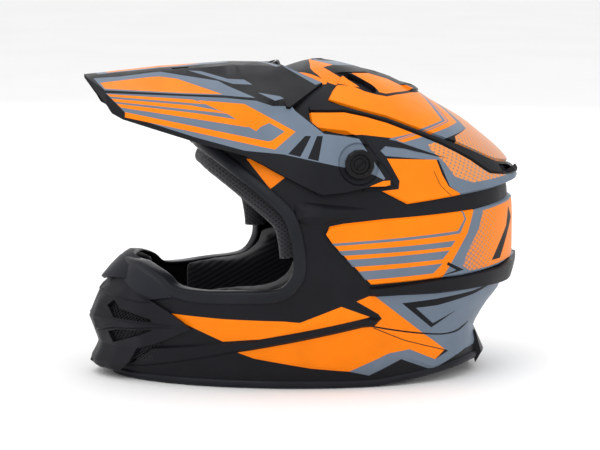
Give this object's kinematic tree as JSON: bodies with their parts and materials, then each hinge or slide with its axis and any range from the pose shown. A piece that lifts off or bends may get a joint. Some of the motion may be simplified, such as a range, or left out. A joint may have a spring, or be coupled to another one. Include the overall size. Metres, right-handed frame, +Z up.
{
  "type": "off-road motorcycle helmet",
  "caption": "Full-face off-road helmet with a long tilting peak, wide eyeport, jutting vented chin bar, rear spoiler and ridges, padded liner and ring-closed chin strap.",
  "frame": {"origin": "on the rest plane under the middle of the helmet's box", "axes": "+Z up; the wearer faces -Y, so +Y is the long way to the back of the head; +X is the wearer's left, across the helmet"},
  "size_m": [0.245, 0.3573, 0.2572],
  "materials": {
    "shell_paint": "matt orange, grey and black paint over the moulded shell",
    "peak_paint": "matt black with grey and orange graphics",
    "black_plastic": "matt",
    "mesh_plastic": "matt",
    "rubber_trim": "matt",
    "screw_plastic": "satin",
    "socket_steel": "brushed",
    "strap_steel": "polished",
    "foam": "matt bead foam",
    "filter_foam": "open foam",
    "pad_cloth": "brushed and mesh cloth",
    "webbing": "woven"
  },
  "bodies": {
    "shell": {"outer_shell": "shell_paint", "impact_liner": "foam", "chin_liner": "foam", "eyeport_trim": "rubber_trim", "neck_trim": "rubber_trim", "rear_neck_piece": "black_plastic", "mouth_vent": "black_plastic", "mouth_vent_mesh": "mesh_plastic", "breath_filter": "filter_foam", "nose_guard": "rubber_trim", "top_vent_left": "mesh_plastic", "top_vent_right": "mesh_plastic", "rear_vent_left": "mesh_plastic", "rear_vent_right": "mesh_plastic", "side_blade_left": "black_plastic", "side_blade_right": "black_plastic", "screw_socket_left": "socket_steel", "screw_socket_right": "socket_steel", "screw_socket_center": "socket_steel", "crown_pad": "pad_cloth", "brow_pad": "pad_cloth", "neck_roll": "pad_cloth", "strap_rivet_left": "strap_steel", "strap_rivet_right": "strap_steel"},
    "peak": {"peak": "peak_paint"},
    "screw_left": {"peak_screw_left": "screw_plastic"},
    "screw_right": {"peak_screw_right": "screw_plastic"},
    "screw_center": {"peak_screw_center": "screw_plastic"},
    "cheek_left": {"cheek_pad_left": "pad_cloth"},
    "cheek_right": {"cheek_pad_right": "pad_cloth"},
    "chin_strap": {"strap_left": "webbing", "strap_right": "webbing", "strap_hanger_left": "strap_steel", "strap_hanger_right": "strap_steel", "strap_ring_lower": "strap_steel", "strap_ring_upper": "strap_steel"}
  },
  "joints": [
    {"name": "peak_tilt", "type": "hinge", "parent": "shell", "child": "peak", "pos_m": [0, 0.0253, 0.18], "axis": [1, 0, 0], "range_deg": [-4, 4]},
    {"name": "screw_left_turn", "type": "hinge", "parent": "shell", "child": "screw_left", "pos_m": [0.11, 0.0253, 0.18], "axis": [1, 0, 0], "continuous": true},
    {"name": "screw_right_turn", "type": "hinge", "parent": "shell", "child": "screw_right", "pos_m": [-0.11, 0.0253, 0.18], "axis": [-1, 0, 0], "continuous": true},
    {"name": "screw_center_turn", "type": "hinge", "parent": "shell", "child": "screw_center", "pos_m": [0, -0.0267, 0.243], "axis": [0, -0.3746, 0.9272], "continuous": true},
    {"name": "strap_swing", "type": "hinge", "parent": "shell", "child": "chin_strap", "pos_m": [0, 0.0273, 0.082], "axis": [1, 0, 0], "range_deg": [-6, 6]},
    {"name": "cheek_left_pull", "type": "slide", "parent": "shell", "child": "cheek_left", "axis": [-1, 0, 0], "range_m": [0, 0.012]},
    {"name": "cheek_right_pull", "type": "slide", "parent": "shell", "child": "cheek_right", "axis": [1, 0, 0], "range_m": [0, 0.012]}
  ]
}
